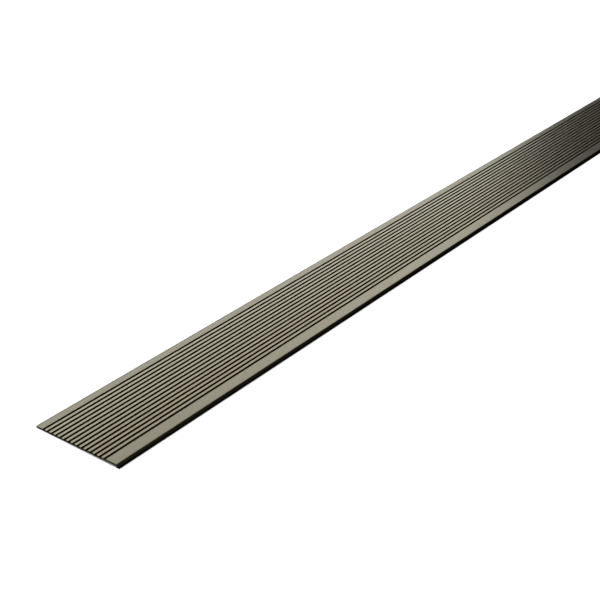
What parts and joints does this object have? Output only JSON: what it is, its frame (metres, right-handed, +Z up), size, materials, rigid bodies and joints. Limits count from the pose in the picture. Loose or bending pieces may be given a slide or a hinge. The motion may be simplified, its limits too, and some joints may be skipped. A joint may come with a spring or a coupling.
{
  "type": "ribbed edge trim profile",
  "caption": "Flat ribbed edge trim strip of bronze-grey anodised aluminium, with a square heel on one long edge and a rounded, turned-down nose on the other.",
  "frame": {"origin": "on the floor under the middle of the strip as it lies, halfway along its length", "axes": "+Y along the strip, +X from the square heel towards the turned-down nose, +Z up"},
  "size_m": [0.08, 1, 0.0027],
  "materials": {
    "anodised_aluminium": "matt bronze-grey anodised, with fine lines along the extrusion"
  },
  "bodies": {
    "root": {"trim_profile": "anodised_aluminium"}
  },
  "joints": []
}
